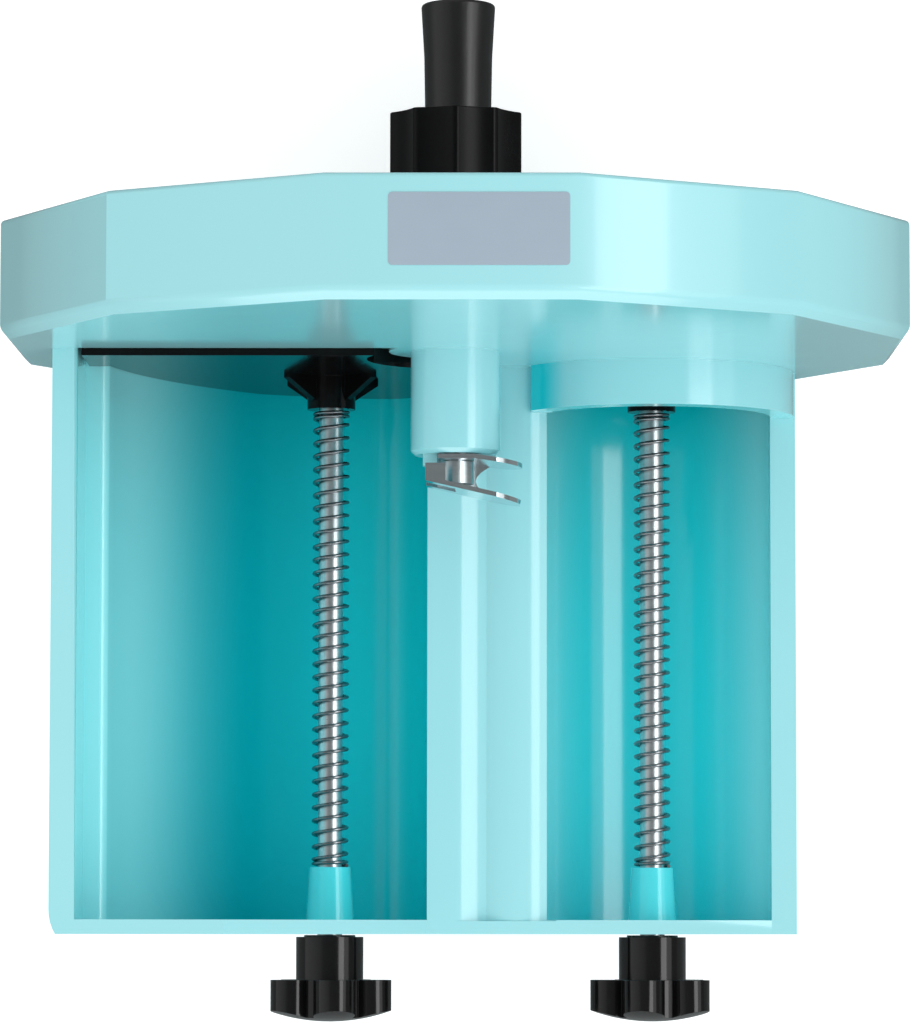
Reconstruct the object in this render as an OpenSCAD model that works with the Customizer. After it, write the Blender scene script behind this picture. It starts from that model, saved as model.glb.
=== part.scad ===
// Head of a hand cranked food slicer: a twelve-sided blade tray, a wide and a
// narrow feed trough with sprung pushers, and a cutter wheel on a clipped shaft.
// +Z is up, +Y points to the crank, and the wide trough lies on the -X side.
// The origin is the centre of the four stand bolts, on the plane of the feet.

/* [Blade tray] */
// Width of the tray across two opposite flats
tray_flats = 240; // [220:1:270]
// Depth of the tray along the shaft
tray_depth = 31.5; // [28:0.5:40]
// Thickness of the tray's rim
rim_wall = 3.5; // [2.5:0.5:4]
// Thickness of the tray's rear wall
rear_wall = 4; // [3:0.5:5]
// Bevel along the tray's rear edge
edge_bevel = 2.5; // [1:0.5:3]
// Distance from the stand bolts' centre to the tray's rear face
tray_y = 75; // [65:1:85]

/* [Shaft boss] */
// Outer diameter of the shaft boss
boss_d = 24.2; // [22:0.2:28]
// Length of the shaft boss behind the rear face
boss_len = 28.1; // [24:0.1:34]
// Bevel at the boss's end
boss_bevel = 1.2; // [0.5:0.1:2]
// Diameter of the plain ring round the boss's foot
hub_ring_d = 36; // [32:1:40]
// Outer diameter of the shaft bushes
bush_d = 14; // [13:0.5:16]
// Length of each shaft bush
bush_len = 10; // [6:0.5:12]
// Diameter of the front bush's flange
flange_d = 20; // [17:0.5:22]
// Thickness of the front bush's flange
flange_t = 1; // [0.8:0.1:1.5]
// Length of the stop lug on the boss's end
lug_len = 3.2; // [2.5:0.1:4]
// Width and height of the stop lug
lug_w = 3.8; // [3:0.1:4]

/* [Wide trough] */
// Distance from the tray's side to the trough's left wall
left_margin = 18.8; // [17:0.1:30]
// Distance from the shaft to the trough's right wall
trough_right = 8; // [6:1:12]
// Height of the left rim above the shaft
trough_top = 10; // [6:1:16]
// Depth of the straight left wall below the shaft
side_straight = 18; // [12:1:24]
// Width of the ledge at the foot of the left wall
ledge_w = 6; // [4:0.5:10]
// Sideways place of the side curve's centre
sweep_x = 63; // [50:1:70]
// Height of the side curve's centre above the shaft
sweep_z = 16; // [5:1:20]
// Gap between the trough's floor and the wheel's ring
feed_gap = 1.5; // [1:0.5:4]
// Radius of the trough's inner corner beside the divider
corner_r = 14; // [8:1:18]

/* [Round trough] */
// Distance from the tray's side to the round trough's bore
right_margin = 32.4; // [31:0.1:38]
// Inner diameter of the round trough
tube_d = 66.4; // [60:0.2:67]
// Length of the closed collar behind the rear face
collar_len = 12.5; // [8:0.5:20]
// Wall of the closed collar
collar_wall = 6.5; // [5:0.5:7]

/* [Chute body] */
// Length of the troughs behind the rear face
chute_len = 156.6; // [140:0.1:180]
// Wall of the troughs
chute_wall = 4; // [3:0.5:5]
// Thickness of the end wall
end_wall = 3.9; // [3:0.1:6]
// Depth of the divider's face below the shaft
divider_drop = 36; // [30:1:40]
// Width of the left rim's lip
lip_w = 6.8; // [5:0.1:10]
// Radius of the curve that ends the left lip
lip_round = 13; // [10:1:20]
// Length of that curve along the lip
lip_round_len = 6.5; // [4:0.5:8]
// Width of the right rim's lip
tube_lip_w = 7; // [5:0.5:8]
// Height of both lips
lip_h = 6; // [4:0.5:8]
// Length of the rod guides on the end wall
guide_len = 14.5; // [10:0.1:16]
// Diameter of a rod guide at the end wall
guide_base_d = 13.2; // [12:0.1:15]
// Diameter of a rod guide at its tip
guide_tip_d = 11.6; // [11:0.1:12]

/* [Stand mount] */
// Distance between the stand bolts from left to right
bolt_x = 70; // [60:1:76]
// Distance between the stand bolts along the shaft
bolt_y = 70; // [60:1:90]
// Diameter of the bolt bosses
bolt_boss_d = 16; // [13:0.5:18]
// Outer diameter of the threaded inserts
insert_d = 7; // [6.5:0.1:8]
// Bore of the threaded inserts
insert_bore = 4.2; // [4:0.1:5.2]
// Length of the threaded inserts
insert_len = 9; // [7:0.5:10]
// Thickness of the cross ribs under the troughs
rib_t = 4; // [3:0.5:6]
// Length of each rib's foot
foot_w = 90; // [86:1:96]

/* [Shaft and clip] */
// Diameter of the cutter shaft
shaft_d = 10; // [9:0.5:11]
// Length of shaft behind the boss's end
shaft_tail = 7.7; // [7:0.1:9]
// Depth of the clip groove
groove_depth = 1; // [0.6:0.1:1.5]
// Thickness of the clip's sheet
clip_t = 1.2; // [0.8:0.1:1.4]
// Width of the clip across the fork
clip_w = 22; // [18:1:24]
// Reach of the clip's fork past the shaft's axis
clip_reach = 18; // [14:1:22]
// Reach of the clip behind the shaft's axis
clip_back = 8; // [7:0.5:9]
// Depth of the clip over both legs at its rear edge
clip_depth = 7.1; // [6:0.1:8]
// Width of the clip's near tab
tab_w = 5.4; // [4:0.2:7]
// Height of the clip's near tab
tab_h = 4.7; // [4:0.1:5]
// Angle of the clip's finger leg
clip_flare = 13; // [8:1:18]
// Angle by which the fork's tip is bent back
clip_bend = 8; // [4:1:10]

/* [Cutter wheel] */
// Gap between the wheel's ring and the tray's rim
ring_gap = 1.5; // [1:0.5:4]
// Width of the wheel's ring
ring_w = 5; // [3:0.5:5]
// Depth of the wheel's ring along the shaft
ring_depth = 14.5; // [13:0.5:15]
// Gap between the rear wall and the blades
blade_gap = 1.5; // [1:0.1:2]
// Diameter of the wheel's hub
hub_d = 32; // [28:1:34]
// Width of a blade bar
bar_w = 22; // [18:1:26]
// Thickness of a blade bar
bar_t = 4; // [3:0.5:5]
// Thickness of a blade
blade_t = 1.5; // [1:0.1:2]
// Reach of a blade's edge past its bar
blade_reach = 6; // [4:0.5:8]
// Width of a blade's ground bevel
blade_bevel = 4; // [3:0.5:5]
// Diameter of the drive pin
pin_d = 3; // [2.5:0.1:3.2]
// Diameter of the blade screws
blade_screw_d = 3.2; // [3:0.1:4]

/* [Thickness plate] */
// Thickness of the plate
plate_t = 9; // [8:0.5:10]
// Thinnest slice
slice_min = 0.3; // [0.2:0.1:0.5]
// Travel of the plate, which is the range of slice thickness
slice_travel = 6; // [4:0.5:6]
// Width of the slice throat beside a blade bar
throat_w = 13; // [10:0.5:16]
// Outer diameter of the plate's threaded sleeve
sleeve_d = 18; // [17:0.5:19]
// Reach of the sleeve past the crank bar at the thinnest slice
sleeve_reach = 14; // [12:0.5:16]

/* [Adjust knob] */
// Diameter over the ridges
knob_d = 37; // [32:0.2:38]
// Number of ridges
knob_ridges = 10; // [6:1:12]
// Width of a ridge
ridge_w = 1.2; // [0.8:0.1:2]
// Hollow of the flutes below the flat from ridge to ridge
flute_hollow = 0.7; // [0.4:0.1:1.2]
// Height of the fluted part
knob_h = 29.3; // [24:0.1:32]
// Height of the round foot under the flutes
knob_foot_h = 6; // [4:0.5:8]
// Outer diameter of the threaded nut in the knob
nut_d = 24.6; // [24:0.2:26]
// Height of the nut
nut_h = 15; // [12:0.5:15]
// Thickness of the shoulder that the washer holds
knob_web = 3; // [2:0.5:4]
// Depth of the recess in the knob's front
knob_recess = 9; // [7:0.5:9]

/* [Crank] */
// Distance from the wheel's ring to the crank grip
crank_margin = 30; // [26:1:40]
// Width of the crank bar
crank_bar_w = 26; // [24:1:32]
// Thickness of the crank bar
crank_bar_t = 6; // [5:0.5:8]
// Gap between the plate's furthest place and the crank bar
crank_gap = 2; // [1.5:0.5:4]
// Length of the grip
grip_len = 77; // [65:1:90]
// Diameter of the grip at its inner end
grip_root_d = 17.4; // [16:0.2:19]
// Diameter of the grip at its free end
grip_tip_d = 21.2; // [20:0.2:24]
// Diameter of the grip's spindle
spindle_d = 6; // [5:0.5:7]
// Diameter of the spindle's head
spindle_head_d = 9.4; // [8.5:0.1:11]
// Height of the spindle's head
spindle_head_h = 2.6; // [2:0.1:4]
// Height of the boss under the grip
grip_boss_h = 3; // [2:0.5:5]

/* [Pushers] */
// Sideways place of the wide pusher's rod, left of the shaft
rod_left = 35; // [32:1:40]
// Depth of the wide pusher's rod below the shaft
rod_drop = 47; // [44:1:52]
// Diameter of the pusher rods
rod_d = 6.8; // [6:0.1:7]
// Thickness of a pusher plate
pusher_t = 4.5; // [4:0.5:6]
// Distance that a pusher plate stands behind the rear face
pusher_back = 2; // [1:0.5:3]
// Gap between a pusher plate and its trough
pusher_gap = 1; // [0.6:0.1:2]
// Gap between the wide pusher and the ring round the boss
hub_gap = 6; // [3:0.5:8]
// Diameter of a pusher's boss
pusher_boss_d = 13.4; // [12.6:0.1:15]
// Height of a pusher's boss
pusher_boss_h = 9; // [7:0.5:12]
// Reach of a boss's ribs along the plate, from the rod's axis
rib_reach = 17; // [12:0.5:20]
// Thickness of a boss's ribs
pusher_rib_t = 2.2; // [1.5:0.1:3]

/* [Star knobs] */
// Diameter over the star's lobes
star_d = 34.6; // [30:0.2:38]
// Number of star lobes
star_lobes = 5; // [4:1:6]
// Height of the star
star_h = 11.5; // [9:0.5:14]
// Radius of the star's domed face
star_dome_r = 50; // [40:1:90]
// Turn of the wide pusher's star knob
large_star_turn = -26; // [-36:1:36]
// Turn of the small pusher's star knob
small_star_turn = -5; // [-36:1:36]
// Diameter of the star knob's hub
star_hub_d = 18.6; // [16:0.2:20]
// Height of the star knob's hub
star_hub_h = 11.8; // [9:0.1:14]
// Diameter of the stop collar
stop_d = 14.2; // [13:0.2:16]
// Height of the stop collar
stop_h = 0.5; // [0.4:0.1:3]

/* [Springs] */
// Diameter of the spring wire
wire_d = 1.1; // [0.8:0.1:1.2]
// Gap between a spring and its rod
spring_gap = 0.3; // [0.25:0.05:0.6]
// Number of turns in a spring
spring_turns = 35; // [20:1:40]

/* [Screws] */
// Diameter of the tray screws
tray_screw_d = 4; // [3:0.1:4.2]
// Length of the tray screws
tray_screw_len = 16; // [12:1:20]
// Diameter of the screw bosses on the troughs
screw_boss_d = 8; // [7.6:0.1:9]
// Diameter of the crank bar's screws
bar_screw_d = 4; // [3:0.1:4.5]
// Diameter of the screw in the shaft's front end
knob_screw_d = 4; // [3:0.1:5]

/* [Fits] */
// Radial clearance of a turning or sliding shaft
run_clear = 0.05; // [0.02:0.01:0.1]
// Clearance between neighbouring moving faces
face_clear = 0.3; // [0.2:0.05:0.5]

/* [Hidden] */
$fn = 96;

// Finishes
turquoise = [0.36, 0.80, 0.84];
black_plastic = [0.06, 0.06, 0.06];
steel = [0.75, 0.77, 0.79];
brass = [0.78, 0.63, 0.32];
pale_plastic = [0.80, 0.90, 0.91];

// A cut runs past the face that it opens, and joined shapes sink into each other
cut = 1;
boss_sink = 0.5;
far = 2 * tray_flats;
shaft_r = shaft_d / 2;
apothem = tray_flats / 2;
corner_reach = apothem / cos(15);
inner_corner_reach = (apothem - rim_wall) / cos(15);
bevel_side = edge_bevel * sqrt(2);
ring_r = apothem - rim_wall - ring_gap;
ring_inner = ring_r - ring_w;
crank_r = ring_inner - crank_margin;

// Troughs, seen along the shaft
feed_r = ring_inner - feed_gap;
trough_left = apothem - left_margin;
tube_r = tube_d / 2;
tube_x = apothem - right_margin - tube_r;
// The round trough's axis lies on the diagonal, 0.45 of the apothem below the shaft
tube_z = -0.45 * apothem;
divider_z = -divider_drop;
sweep_r = norm([trough_left - ledge_w + sweep_x, sweep_z + side_straight]);
hub_ring_r = hub_ring_d / 2;
lug_z = lug_w / 2;
lug_x = -sqrt(pow(boss_d / 2 - boss_bevel - boss_sink, 2) - pow(lug_z + lug_w, 2));
corner_x = -(trough_right + corner_r);
corner_z = -sqrt(pow(feed_r - corner_r, 2) - corner_x * corner_x);
rod_r = rod_d / 2;
large_rod = [-rod_left, -rod_drop];
small_rod = [tube_x, tube_z];
rods = [large_rod, small_rod];
guide_tip_y = -chute_len + end_wall + guide_len;

// Bolts of the stand
foot_z = -apothem;
bolts = [for (sx = [-1, 1], sy = [-1, 1]) [sx * bolt_x / 2, sy * bolt_y / 2 - tray_y]];

// Screws that join the tray to the troughs: side curve twice, divider twice, round trough
screw_off = chute_wall + screw_boss_d / 2 - boss_sink;
head_margin = 1;
ledge_screw_angle = 197;
side_screw_angle = 213;
tube_screw_angle = -100;
function sweep_place(off, a) = [sweep_x, sweep_z] + (sweep_r + off) * [cos(a), sin(a)];
tray_screws = [
    sweep_place(tray_screw_d + head_margin, ledge_screw_angle),
    sweep_place(screw_off, side_screw_angle),
    [-trough_right + screw_off, divider_z - chute_wall - screw_boss_d],
    [-trough_right + screw_off, corner_z],
    small_rod + (tube_r + screw_off) * [cos(tube_screw_angle), sin(tube_screw_angle)]
];

// Stack along the shaft, from the rear face towards the crank
blade_y = rear_wall + blade_gap;
bar_y = blade_y + blade_t;
bar_front = bar_y + bar_t;
hub_y = rear_wall + flange_t + face_clear;
pin_y = (hub_y + bar_front) / 2;
plate_y = blade_y + slice_min;
recess_y = bar_front + face_clear;
plate_front = plate_y + plate_t;
crank_y = plate_front + slice_travel + crank_gap;
crank_front = crank_y + crank_bar_t;
sleeve_y = crank_front + sleeve_reach;
knob_y = crank_front + face_clear;
knob_front = knob_y + knob_foot_h + knob_h;
web_front = knob_front - knob_recess;
shaft_front = web_front + face_clear;
shaft_rear = -boss_len - shaft_tail;
washer_lap = 3;
washer_r = shaft_r + washer_lap;
washer_t = 1.2;
screw_tap = 4 * knob_screw_d;
grip_y = crank_front + grip_boss_h + face_clear;
grip_end = grip_y + grip_len;
// Gap round the thickness plate, the blade bars and the washer
loose_gap = 1;
plate_r = ring_inner - loose_gap;
// Posts that carry the crank bar
post_r = 5;
post_sink = 1.5;
post_z = ring_inner - post_sink;
// Play of the clip in its groove
groove_play = 0.2;
groove_front = -boss_len - groove_play;
clip_y = groove_front - groove_play;
groove_rear = clip_y - clip_t - groove_play;
groove_r = shaft_r - groove_depth;
clip_hollow_r = 2;
clip_drop = (clip_reach - shaft_r) * tan(clip_bend);

// Blade screws along a bar
blade_in = hub_d / 2 + washer_lap;
blade_out = ring_inner - loose_gap;
hole_inset = 14;
blade_holes = [for (k = [0:2]) blade_in + hole_inset + k * (blade_out - blade_in - 2 * hole_inset) / 2];

// Throats of the thickness plate: the rims left at the outside and round the hub
throat_rim = 4;
throat_hub = 8;

// Wall round the crank bar's holes, and the knobs' proportions
eye_wall = 3;
foot_inset = 2;
flute_half = 180 / knob_ridges - asin(ridge_w / knob_d);
flute_r = (pow(knob_d / 2 * sin(flute_half), 2) + pow(flute_hollow, 2)) / (2 * flute_hollow);
flute_at = knob_d / 2 * cos(flute_half) - flute_hollow + flute_r;
star_lobe = 0.33;
star_root = 1.175;
grip_edge = 0.6;
star_y = -chute_len - face_clear;
star_top = star_y - stop_h - star_hub_h;

// Springs
coil_r = (rod_r + spring_gap + wire_d / 2) / cos(22.5);
rings_per_turn = 8;
wire_sides = 6;
spring_from = guide_tip_y;
spring_to = -pusher_back - pusher_boss_h - face_clear;
coil_from = spring_from + wire_d;
coil_to = spring_to - wire_d;
coil_steps = spring_turns * rings_per_turn;

// The part's frame: the origin at the bolts, the shaft at the apothem's height
module place() translate([0, tray_y, apothem]) children();

// Extrudes an outline seen along the shaft, X right and Z up, from y0 to y1
module along_y(y0, y1) translate([0, y1, 0]) rotate([90, 0, 0]) linear_extrude(y1 - y0) children();

// Round bar along the shaft's direction
module round_y(r, y0, y1, at = [0, 0])
    translate([at[0], y1, at[1]]) rotate([90, 0, 0]) cylinder(r = r, h = y1 - y0);

// Cone along the shaft's direction, radius r0 at y0 and r1 at y1
module cone_y(r0, r1, y0, y1, at = [0, 0])
    translate([at[0], y1, at[1]]) rotate([90, 0, 0]) cylinder(r1 = r1, r2 = r0, h = y1 - y0);

// Countersunk screw along the shaft, its head's face at y_head, its tip dir * len away
module sunk_screw(d, len, y_head, dir, at) {
    head_h = d / 2;
    y_neck = y_head + dir * head_h;
    y_tip = y_head + dir * len;
    if (dir > 0) {
        cone_y(d, d / 2, y_head, y_neck, at);
        round_y(d / 2, y_neck, y_tip, at);
    } else {
        cone_y(d / 2, d, y_neck, y_head, at);
        round_y(d / 2, y_tip, y_neck, at);
    }
}

// Regular twelve-sided outline with a flat on top
module dodecagon(reach) rotate(15) circle(r = reach, $fn = 12);

// Outline of the wide trough, drawn in by g on every side and open up to the height top
module wide_outline(g = 0, top = trough_top) {
    corner = [corner_x, corner_z];
    out = corner / norm(corner);
    difference() {
        intersection() {
            circle(r = feed_r - g);
            union() {
                translate([sweep_x, sweep_z]) circle(r = sweep_r - g);
                translate([-trough_left + g, -side_straight + g]) square(far);
            }
            translate([-trough_left + g, -far])
                square([trough_left - trough_right - 2 * g, far + top]);
        }
        difference() {
            polygon([corner, corner + out * far, corner + [far, -far], corner + [far, 0]]);
            translate(corner) circle(r = corner_r - g);
        }
    }
}

module round_outline(r) translate(small_rod) circle(r = r);

// Space above the rims: the left rim, the divider's face and the right rim step down
module above_rims() {
    translate([-far, trough_top]) square([2 * far, far]);
    translate([-trough_right, divider_z]) square([far, far]);
    translate([tube_x, tube_z]) square([far, far]);
}

// Cross-section of both troughs
module trough_walls() difference() {
    union() {
        wide_outline(-chute_wall);
        translate([-trough_left - lip_w, trough_top - lip_h]) square([lip_w, lip_h]);
        round_outline(tube_r + chute_wall);
        translate([tube_x, tube_z - lip_h]) square([tube_r + tube_lip_w, lip_h]);
        translate([-trough_right, divider_z - chute_wall]) square([trough_right + tube_x, chute_wall]);
    }
    wide_outline(0, far);
    round_outline(tube_r);
    above_rims();
}

// Outline of the end wall, with its upper edge sloping from rim to rim
module end_outline() intersection() {
    union() {
        wide_outline(-chute_wall);
        translate([-trough_left - lip_w, trough_top - lip_h]) square([lip_w, lip_h]);
        round_outline(tube_r + chute_wall);
        translate([tube_x, tube_z - lip_h]) square([tube_r + tube_lip_w, lip_h]);
        translate([-trough_right, corner_z]) square([trough_right + tube_x, divider_z - corner_z]);
    }
    polygon([
        [-far, trough_top], [-rod_left - 2 * guide_base_d, trough_top], [-trough_right, divider_z],
        [tube_x - tube_r / 2, divider_z], [tube_x + tube_r, tube_z], [far, tube_z], [far, -far], [-far, -far]
    ]);
}

// One cross rib under the troughs, down to the foot
module rib_outline() difference() {
    translate([-foot_w / 2, foot_z]) square([foot_w, tube_z - foot_z]);
    wide_outline(0, far);
    round_outline(tube_r);
    above_rims();
}

// Lug on the boss's end that stops the clip from turning, grown by g for its notch
module stop_lug(g) translate([lug_x - g, -boss_len - lug_len - g, lug_z - g])
    cube([lug_w + 2 * g, lug_len + boss_bevel + g, lug_w + 2 * g]);

// Blade tray
module blade_housing() color(turquoise) place() difference() {
    union() {
        difference() {
            along_y(0, tray_depth) dodecagon(corner_reach);
            for (k = [0:11])
                rotate([0, 30 * k, 0]) translate([0, 0, apothem]) rotate([45, 0, 0])
                    cube([far, bevel_side, bevel_side], center = true);
            along_y(rear_wall, tray_depth + cut) dodecagon(inner_corner_reach);
            along_y(-cut, rear_wall + cut) difference() {
                wide_outline();
                circle(r = hub_ring_r);
            }
            round_y(tube_r, -cut, rear_wall + cut, small_rod);
        }
        round_y(boss_d / 2, -boss_len + boss_bevel, rear_wall);
        cone_y(boss_d / 2 - boss_bevel, boss_d / 2, -boss_len, -boss_len + boss_bevel);
        difference() {
            stop_lug(0);
            round_y(bush_d / 2 + boss_sink, -boss_len, 0);
        }
    }
    round_y(bush_d / 2, -boss_len, rear_wall + cut);
    for (at = tray_screws) {
        cone_y(tray_screw_d / 2, tray_screw_d + cut, rear_wall - tray_screw_d / 2, rear_wall + cut, at);
        round_y(tray_screw_d / 2 + run_clear, -cut, rear_wall, at);
    }
}

// Corner that the left lip's curved end leaves out
module lip_corner() translate([-trough_left - lip_w, -chute_len]) difference() {
    translate([-cut, -cut]) square([lip_round_len + cut, lip_round_len + cut]);
    translate([lip_round, lip_round_len]) circle(r = lip_round);
}

// Both feed troughs in one moulding
module feed_chute() color(turquoise) place() difference() {
    union() {
        along_y(-chute_len, 0) trough_walls();
        along_y(-chute_len, -chute_len + end_wall) end_outline();
        round_y(tube_r + collar_wall, -collar_len, 0, small_rod);
        for (at = rods)
            cone_y(guide_base_d / 2, guide_tip_d / 2, -chute_len + end_wall, guide_tip_y, at);
        for (at = tray_screws)
            along_y(-tray_screw_len, 0) difference() {
                translate(at) circle(r = screw_boss_d / 2);
                wide_outline(0, far);
            }
        for (sy = [-1, 1])
            translate([0, sy * bolt_y / 2 - tray_y, 0]) along_y(-rib_t / 2, rib_t / 2) rib_outline();
        for (at = bolts)
            difference() {
                translate([at[0], at[1], foot_z]) cylinder(d = bolt_boss_d, h = tube_z - foot_z);
                along_y(-chute_len, 0) wide_outline(-chute_wall / 2, far);
                along_y(-chute_len, 0) round_outline(tube_r + chute_wall / 2);
            }
    }
    round_y(tube_r, -collar_len - cut, cut, small_rod);
    translate([0, 0, -far / 2]) linear_extrude(far) lip_corner();
    for (at = rods)
        round_y(rod_r + run_clear, -chute_len - cut, guide_tip_y + cut, at);
    for (at = tray_screws)
        round_y(tray_screw_d / 2, rear_wall - tray_screw_len - cut, cut, at);
    for (at = bolts)
        translate([at[0], at[1], foot_z - cut]) cylinder(d = insert_d, h = insert_len + cut);
}

module housing_screws() color(steel) place()
    for (at = tray_screws)
        sunk_screw(tray_screw_d, tray_screw_len, rear_wall, -1, at);

module stand_inserts() color(brass) place()
    for (at = bolts)
        translate([at[0], at[1], foot_z]) difference() {
            cylinder(d = insert_d, h = insert_len);
            translate([0, 0, -cut]) cylinder(d = insert_bore, h = insert_len + 2 * cut);
        }

// Front bush, flanged towards the cutter wheel
module front_bush() color(pale_plastic) place() difference() {
    union() {
        round_y(bush_d / 2, rear_wall - bush_len, rear_wall);
        round_y(flange_d / 2, rear_wall, rear_wall + flange_t);
    }
    round_y(shaft_r + run_clear, rear_wall - bush_len - cut, rear_wall + flange_t + cut);
}

module rear_bush() color(pale_plastic) place() difference() {
    round_y(bush_d / 2, -boss_len, -boss_len + bush_len);
    round_y(shaft_r + run_clear, -boss_len - cut, -boss_len + bush_len + cut);
}

// Shaft with its clip groove, pin hole and tapped front end
module shaft() color(steel) place() difference() {
    round_y(shaft_r, shaft_rear, shaft_front);
    difference() {
        round_y(shaft_r + cut, groove_rear, groove_front);
        round_y(groove_r, groove_rear - cut, groove_front + cut);
    }
    translate([0, pin_y, 0]) cylinder(d = pin_d, h = hub_d, center = true);
    round_y(knob_screw_d / 2, shaft_front - screw_tap, shaft_front + cut);
}

// Sheet steel clip, seen from above: a fork in the groove, a flared finger leg, and the space between
module clip_fork() polygon([
    [-clip_back, clip_y - clip_t], [shaft_r, clip_y - clip_t], [clip_reach, clip_y - clip_t - clip_drop],
    [clip_reach, clip_y - clip_drop], [shaft_r, clip_y], [-clip_back, clip_y]
]);

module clip_leg() translate([-clip_back, clip_y - clip_depth]) rotate(-clip_flare)
    square([clip_back + clip_reach, clip_t]);

module clip_side() polygon([
    [-clip_back, clip_y - clip_t / 2], [shaft_r, clip_y - clip_t / 2],
    [clip_reach, clip_y - clip_t / 2 - clip_drop],
    [clip_reach, clip_y - clip_depth - (clip_back + clip_reach) * tan(clip_flare) + clip_t / 2],
    [-clip_back, clip_y - clip_depth + clip_t / 2]
]);

// Hollow edge of the clip's far side
module clip_hollow() {
    mid_y = clip_y - clip_depth * 0.8;
    polygon([for (k = [-6:6]) let (t = k * clip_t) [tab_w + t * t / (2 * clip_hollow_r), mid_y + t]]);
}

// The fork's slot opens to the side of the lug, and its near prong ends at the lug
module shaft_clip() color(steel) place() {
    tip_r = clip_w / 2 + cut;
    slot_r = shaft_r + face_clear;
    difference() {
        union() {
            translate([0, 0, -clip_w / 2]) linear_extrude(clip_w) {
                clip_fork();
                clip_leg();
            }
            translate([0, 0, clip_w / 2 - clip_t]) linear_extrude(clip_t) intersection() {
                clip_side();
                translate([-clip_back, clip_y - clip_depth]) square([tab_w, tab_h]);
            }
            translate([0, 0, -clip_w / 2]) linear_extrude(clip_t) difference() {
                clip_side();
                clip_hollow();
            }
        }
        along_y(-far, clip_y + cut) difference() {
            translate([clip_reach - tip_r, -far / 2]) square(far);
            translate([clip_reach - tip_r, 0]) circle(r = tip_r);
        }
        along_y(clip_y - clip_t - boss_sink, clip_y + cut) fork_slot(groove_r + face_clear / 2);
        along_y(-far, clip_y - clip_t - boss_sink) translate([-far, -slot_r]) square([far, 2 * slot_r]);
        stop_lug(face_clear);
        translate([lug_x + lug_w + face_clear - far, clip_y - clip_t - cut, 0]) cube([far, clip_t + 2 * cut, far]);
    }
}

module fork_slot(r) {
    circle(r = r);
    translate([-far, -r]) square([far, 2 * r]);
}

// Wheel that carries the blades: a hub, two bars and a ring
module cutter_wheel() color(pale_plastic) place() difference() {
    union() {
        round_y(hub_d / 2, hub_y, bar_front);
        difference() {
            round_y(ring_r, blade_y, blade_y + ring_depth);
            round_y(ring_inner, blade_y - cut, blade_y + ring_depth + cut);
        }
        along_y(bar_y, bar_front) intersection() {
            square([2 * ring_r - ring_w, bar_w], center = true);
            circle(r = ring_r - ring_w / 2);
        }
        for (s = [-1, 1])
            round_y(post_r, bar_y, blade_y + ring_depth, [0, s * post_z]);
    }
    round_y(shaft_r, hub_y - cut, bar_front + cut);
    translate([0, pin_y, 0]) cylinder(d = pin_d, h = 2 * hub_d, center = true);
    for (s = [-1, 1]) {
        round_y(bar_screw_d / 2, bar_y + bar_t, blade_y + ring_depth + cut, [0, s * post_z]);
        for (x = blade_holes)
            round_y(blade_screw_d / 2, bar_y - cut, bar_front + cut, [s * x, 0]);
    }
}

module drive_pin() color(steel) place()
    translate([0, pin_y, 0]) cylinder(d = pin_d, h = hub_d - 2 * boss_sink, center = true);

// One blade on the +X bar: a ground bevel along its leading edge, three sunk holes
module blade() {
    edge_z = bar_w / 2 + blade_reach;
    back_z = -bar_w / 2 + loose_gap;
    difference() {
        along_y(blade_y, bar_y) intersection() {
            translate([blade_in, back_z]) square([far, edge_z - back_z]);
            circle(r = blade_out);
        }
        rotate([90, 0, 90]) linear_extrude(far)
            polygon([[bar_y, edge_z - blade_bevel], [bar_y + cut, edge_z + cut], [blade_y, edge_z]]);
        for (x = blade_holes) {
            round_y(blade_screw_d / 2 + run_clear, blade_y - cut, bar_y + cut, [x, 0]);
            cone_y(blade_screw_d + cut, blade_screw_d / 2, blade_y - cut, blade_y + blade_screw_d / 2,
                [x, 0]);
        }
    }
}

module blade_a() color(steel) place() blade();

module blade_b() color(steel) place() rotate([0, 180, 0]) blade();

module blade_screws() color(steel) place()
    for (s = [-1, 1], x = blade_holes)
        sunk_screw(blade_screw_d, blade_t + bar_t, blade_y, 1, [s * x, 0]);

// Plate that sets the slice: two throats, a recess for the hub, a threaded sleeve
module thickness_plate() color(turquoise) place() difference() {
    union() {
        round_y(plate_r, plate_y, plate_front);
        round_y(sleeve_d / 2, plate_y, sleeve_y);
    }
    round_y(shaft_r + run_clear, plate_y - cut, sleeve_y + cut);
    round_y(hub_d / 2 + loose_gap, plate_y - cut, recess_y);
    for (turn = [0, 180])
        rotate([0, turn, 0]) {
            translate([0, plate_y - cut, -bar_w / 2 - loose_gap])
                cube([far, recess_y - plate_y + cut, bar_w + 2 * loose_gap]);
            translate([0, plate_y - cut, -bar_w / 2 - loose_gap])
                cube([far, bar_y + face_clear - plate_y + cut, bar_w + blade_reach + 2 * loose_gap]);
            along_y(plate_y - cut, plate_front + cut) intersection() {
                translate([0, -bar_w / 2 - loose_gap]) square([far, bar_w + loose_gap + throat_w]);
                difference() {
                    circle(r = plate_r - throat_rim);
                    circle(r = hub_d / 2 + throat_hub);
                }
            }
        }
    for (s = [-1, 1])
        round_y(post_r + loose_gap, plate_y - cut, plate_front + cut, [0, s * post_z]);
}

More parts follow.
